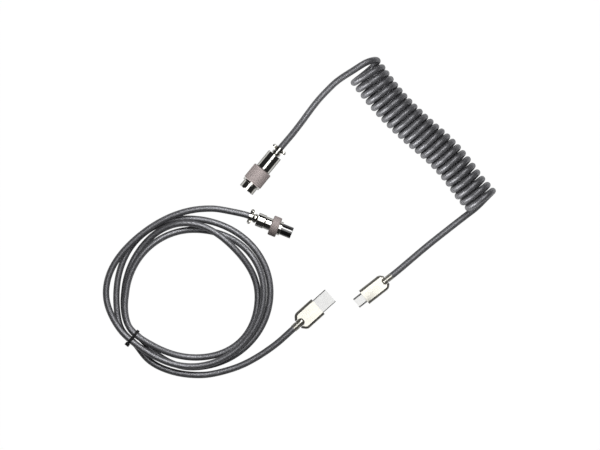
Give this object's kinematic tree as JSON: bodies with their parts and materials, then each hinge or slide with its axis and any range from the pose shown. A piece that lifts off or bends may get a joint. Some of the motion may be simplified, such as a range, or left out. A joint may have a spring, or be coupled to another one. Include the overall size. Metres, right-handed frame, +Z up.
{
  "type": "detachable coiled keyboard cable",
  "caption": "Two-piece braided USB keyboard cable with round screw-lock connectors, one half looped and tied, the other half coiled.",
  "frame": {"origin": "on the surface that the cable lies on, under the middle of the connectors' box", "axes": "+X to the right and +Y away from the viewer as the cable lies, +Z up"},
  "size_m": [0.2909, 0.2374, 0.0272],
  "materials": {
    "case_metal": "satin, bright",
    "shell_steel": "plated, smooth",
    "chrome": "polished",
    "satin_grip": "satin, finely knurled",
    "black_plastic": "glossy",
    "white_plastic": "moulded",
    "board": "solder mask",
    "contact_brass": "gold plated",
    "braid": "woven sleeve"
  },
  "bodies": {
    "host_half": {"usb_a_case": "case_metal", "usb_a_collar": "case_metal", "usb_a_inner_mould": "white_plastic", "usb_a_shell": "shell_steel", "usb_a_tongue": "white_plastic", "usb_a_contact_1": "contact_brass", "usb_a_contact_2": "contact_brass", "usb_a_contact_3": "contact_brass", "usb_a_contact_4": "contact_brass", "usb_a_lead": "braid", "host_loops": "braid", "plug_lead": "braid", "cable_tie": "black_plastic", "plug_backshell": "chrome", "plug_clamp_saddle": "chrome", "plug_clamp_screw_1": "chrome", "plug_clamp_screw_2": "chrome", "plug_front_shell": "chrome", "plug_retaining_clip": "chrome", "plug_insert": "black_plastic", "plug_contact_1": "contact_brass", "plug_contact_2": "contact_brass", "plug_contact_3": "contact_brass", "plug_contact_4": "contact_brass"},
    "coupling_nut": {"coupling_nut": "satin_grip"},
    "keyboard_half": {"socket_backshell": "chrome", "socket_clamp_saddle": "chrome", "socket_clamp_screw_1": "chrome", "socket_clamp_screw_2": "chrome", "socket_sleeve": "satin_grip", "socket_tube": "chrome", "socket_insulator": "black_plastic", "socket_pin_1": "contact_brass", "socket_pin_2": "contact_brass", "socket_pin_3": "contact_brass", "socket_pin_4": "contact_brass", "socket_lead": "braid", "coil": "braid"},
    "usb_c_end": {"usb_c_lead": "braid", "usb_c_collar": "case_metal", "usb_c_case": "case_metal", "usb_c_inner_mould": "white_plastic", "usb_c_board": "board", "usb_c_shell": "shell_steel", "usb_c_insulator": "black_plastic", "usb_c_contact_1": "contact_brass", "usb_c_contact_2": "contact_brass", "usb_c_contact_3": "contact_brass", "usb_c_contact_4": "contact_brass"}
  },
  "joints": [
    {"name": "coupling_nut_spin", "type": "hinge", "parent": "host_half", "child": "coupling_nut", "pos_m": [-0.03103, 0.00853, 0.0076], "axis": [0.9259, -0.3778, 0], "continuous": true},
    {"name": "coiled_half_lift", "type": "slide", "parent": "host_half", "child": "keyboard_half", "axis": [0, 0, 1], "range_m": [0, 0.08]},
    {"name": "coil_stretch", "type": "slide", "parent": "keyboard_half", "child": "usb_c_end", "axis": [0.6678, -0.7443, 0], "range_m": [0, 0.2], "stiffness_N_per_m": 20, "deforming": ["coil"]}
  ]
}
